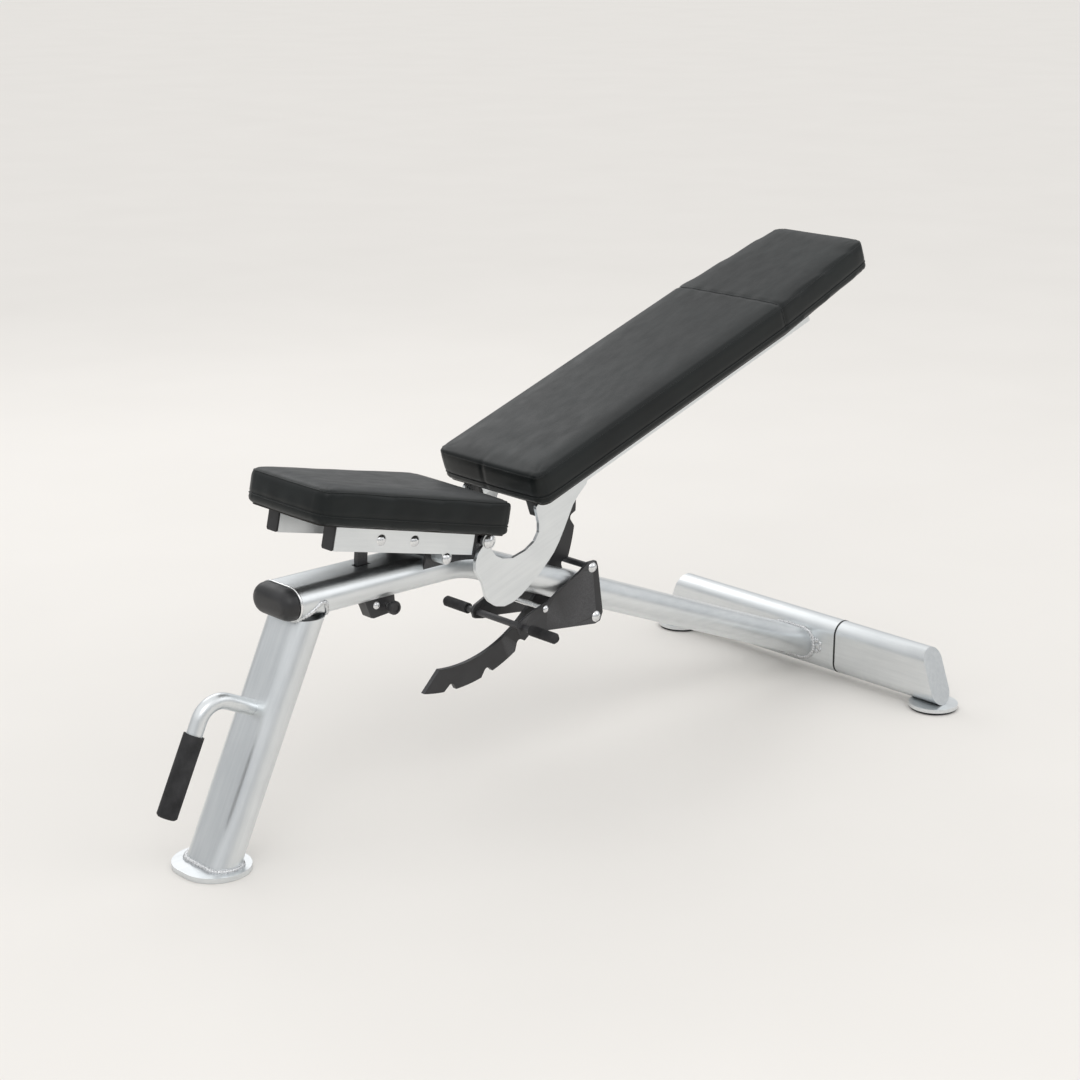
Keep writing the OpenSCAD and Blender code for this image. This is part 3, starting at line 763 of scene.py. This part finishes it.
def beam_under(y):
    """Height of the beam's underside at y."""
    over = abs(y) - (TUBE_W - TUBE_H) / 2
    drop = math.sqrt(max((TUBE_H / 2) ** 2 - max(over, 0.0) ** 2, 0.0))
    return BEAM_Z - drop


def densify(points, gap=0.0015):
    out = []
    for i, a in enumerate(points):
        b = points[(i + 1) % len(points)]
        steps = max(1, math.ceil((b - a).length / gap))
        out += [a.lerp(b, k / steps) for k in range(steps)]
    return out


weld_bead("weld_foot", densify(leg_ring(lambda y: FLANGE_TOP + 0.001, 0.002)), 0.0042, "frame")
weld_bead("weld_leg_top", densify(leg_ring(beam_under, 0.001)), 0.0034, "frame")


def end_ring():
    """Points round the beam where it meets the rear bar's front face."""
    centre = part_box("beam")[0].z + TUBE_H / 2 / math.cos(BEAM_FALL)
    return [Vector((BAR_FACE + 0.0005, y, centre + v / math.cos(BEAM_FALL)))
            for y, v in oval_loop(TUBE_W + 0.002, TUBE_H + 0.002)]


weld_bead("weld_rear", densify(end_ring()), 0.0045, "frame")


def cap_rim():
    """Bright tube rim showing behind the beam's plastic cap."""
    mesh = bpy.data.meshes.new("beam_rim")
    bm = bmesh.new()
    profile = [(0.0, 0.0002), (0.0, 0.0012), (0.0035, 0.0012), (0.0045, 0.0002)]
    loop = oval_loop(TUBE_W, TUBE_H)
    rings = []
    for forward, proud in profile:
        grown = oval_loop(TUBE_W + 2 * proud, TUBE_H + 2 * proud)[:len(loop)]
        rings.append([bm.verts.new((BEAM_START + forward, y, BEAM_Z + v)) for y, v in grown])
    count = min(len(r) for r in rings)
    for low, high in zip(rings, rings[1:]):
        for i in range(count):
            j = (i + 1) % count
            bm.faces.new((low[i], low[j], high[j], high[i]))
    bmesh.ops.recalc_face_normals(bm, faces=bm.faces)
    bm.to_mesh(mesh)
    bm.free()
    made = link(bpy.data.objects.new("beam_rim", mesh), "frame", PLATED)


cap_rim()


def cap_dome():
    """The beam's plastic end cap: a full, smoothly rounded dome over the tube's oval."""
    mesh = bpy.data.meshes.new("beam_cap_dome")
    bm = bmesh.new()
    reach = BEAM_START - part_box("beam_end_cap")[0].x
    rings = []
    for k in range(DOME_STEPS):
        a = QUARTER * k / DOME_STEPS
        forward = reach * math.sin(a) ** 0.85
        inset = 0.021 * (1 - math.cos(a)) ** 1.15
        loop = oval_loop(TUBE_W - 2 * inset, TUBE_H - 2 * inset)
        ring = []
        for i in range(DOME_POINTS):
            at = i / DOME_POINTS * len(loop)
            low, share = int(at), at - int(at)
            y0, v0 = loop[low]
            y1, v1 = loop[(low + 1) % len(loop)]
            ring.append(bm.verts.new((BEAM_START - 0.0002 - forward, y0 + (y1 - y0) * share,
                                      BEAM_Z + v0 + (v1 - v0) * share)))
        rings.append(ring)
    for low, high in zip(rings, rings[1:]):
        for i in range(DOME_POINTS):
            j = (i + 1) % DOME_POINTS
            bm.faces.new((low[i], low[j], high[j], high[i]))
    bm.faces.new(rings[-1])
    bm.faces.new(rings[0])
    bmesh.ops.recalc_face_normals(bm, faces=bm.faces)
    bm.to_mesh(mesh)
    bm.free()
    made = link(bpy.data.objects.new("beam_cap_dome", mesh), "frame", MOULDED)
    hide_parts("beam_end_cap")


cap_dome()


def weld_knots():
    """Lumps of weld on the rear bar's front face beside the beam's near edge."""
    mesh = bpy.data.meshes.new("weld_knots")
    bm = bmesh.new()
    for y, z, r in ((-0.0575, 0.047, 0.0052), (-0.0600, 0.057, 0.0062), (-0.0570, 0.067, 0.0054),
                    (-0.0655, 0.052, 0.0044), (-0.0660, 0.063, 0.0046)):
        place = Matrix.Translation((BAR_FACE - 0.0004, y, z)) @ Matrix.Diagonal((0.55, 1, 1, 1))
        bmesh.ops.create_uvsphere(bm, u_segments=20, v_segments=12, radius=r, matrix=place)
    bm.to_mesh(mesh)
    bm.free()
    made = link(bpy.data.objects.new("weld_knots", mesh), "frame", BEAD)


weld_knots()


def bar_joint_band():
    """Dark seal standing slightly proud in the rear bar's joint."""
    low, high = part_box("crossbar_joint_ring")
    middle = (low + high) / 2
    half = (high.y - low.y) / 2 + 0.0008
    mesh = bpy.data.meshes.new("bar_joint_band")
    bm = bmesh.new()
    rings = []
    for y, proud in ((-half, -0.0015), (-half, 0.0006), (half, 0.0006), (half, -0.0015)):
        rings.append([bm.verts.new((middle.x + v, middle.y + y, middle.z + u))
                      for u, v in oval_loop(TUBE_W + 2 * proud, TUBE_H + 2 * proud)])
    for low_ring, high_ring in zip(rings, rings[1:] + rings[:1]):
        for i in range(len(low_ring)):
            j = (i + 1) % len(low_ring)
            bm.faces.new((low_ring[i], low_ring[j], high_ring[j], high_ring[i]))
    bmesh.ops.recalc_face_normals(bm, faces=bm.faces)
    bm.to_mesh(mesh)
    bm.free()
    made = link(bpy.data.objects.new("bar_joint_band", mesh), "frame", RUBBER, smooth=False)
    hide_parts("crossbar_joint_ring")


bar_joint_band()


# ---------------------------------------------------------------- floor, light, camera

def floor():
    bpy.ops.mesh.primitive_plane_add(size=60, location=(0, 0, -0.0005))
    plane = bpy.context.object
    plane.name = "floor"
    g = Graph("floor_paper")
    soft = g.noise(g.placed(), 2.0, 2.0)
    g.set(Specular_IOR_Level=0.1)
    dress(plane, g.wire(g.shade(soft, (0.825, 0.80, 0.765), (0.84, 0.815, 0.78)),
                        g.span(soft, 0.9, 0.95)))


def world():
    made = bpy.data.worlds.new("studio")
    bpy.context.scene.world = made
    made.use_nodes = True
    tree = made.node_tree
    back = tree.nodes["Background"]
    back.inputs["Strength"].default_value = 1.02
    coords = tree.nodes.new("ShaderNodeTexCoord")
    split = tree.nodes.new("ShaderNodeSeparateXYZ")
    ramp = tree.nodes.new("ShaderNodeValToRGB")
    ramp.color_ramp.elements[0].position = 0.50
    ramp.color_ramp.elements[0].color = (0.36, 0.37, 0.38, 1)
    ramp.color_ramp.elements[1].position = 0.78
    ramp.color_ramp.elements[1].color = (1.0, 1.0, 1.0, 1)
    middle = ramp.color_ramp.elements.new(0.62)
    middle.color = (0.62, 0.63, 0.64, 1)
    shift = tree.nodes.new("ShaderNodeMapRange")
    shift.inputs["From Min"].default_value = -1.0
    tree.links.new(coords.outputs["Generated"], split.inputs["Vector"])
    tree.links.new(split.outputs["Z"], shift.inputs["Value"])
    tree.links.new(shift.outputs["Result"], ramp.inputs["Fac"])
    tree.links.new(ramp.outputs["Color"], back.inputs["Color"])


def lamp(name, at, aim, size, power):
    data = bpy.data.lights.new(name, "AREA")
    data.shape = "RECTANGLE"
    data.size, data.size_y = size
    data.energy = power
    obj = bpy.data.objects.new(name, data)
    bpy.context.scene.collection.objects.link(obj)
    obj.location = at
    obj.rotation_euler = (Vector(aim) - Vector(at)).to_track_quat("-Z", "Y").to_euler()


def camera():
    data = bpy.data.cameras.new("camera")
    data.lens = VIEW_LENS
    data.sensor_width = VIEW_SENSOR
    obj = bpy.data.objects.new("camera", data)
    bpy.context.scene.collection.objects.link(obj)
    turn = Matrix.Rotation(math.radians(-VIEW_YAW), 4, "Z")
    tip = Matrix.Rotation(math.radians(90 - VIEW_DOWN), 4, "X")
    roll = Matrix.Rotation(math.radians(VIEW_ROLL), 4, "Z")
    obj.matrix_world = Matrix.Translation(VIEW_FROM) @ turn @ tip @ roll
    bpy.context.scene.camera = obj


for part in frame["record"]["subparts"]:
    soften(NODES[part["node"]], EDGE_ROUND.get(part["node"], 0))

floor()
world()
lamp("key", (-1.6, -2.2, 3.2), (0.6, 0, 0.4), (2.2, 1.6), 19)
lamp("fill", (2.6, -2.4, 2.0), (0.7, 0, 0.3), (1.8, 1.8), 7)
lamp("rim", (1.2, 2.8, 2.4), (0.6, 0, 0.4), (2.4, 1.2), 12)
camera()
bpy.context.scene.view_settings.view_transform = "Standard"
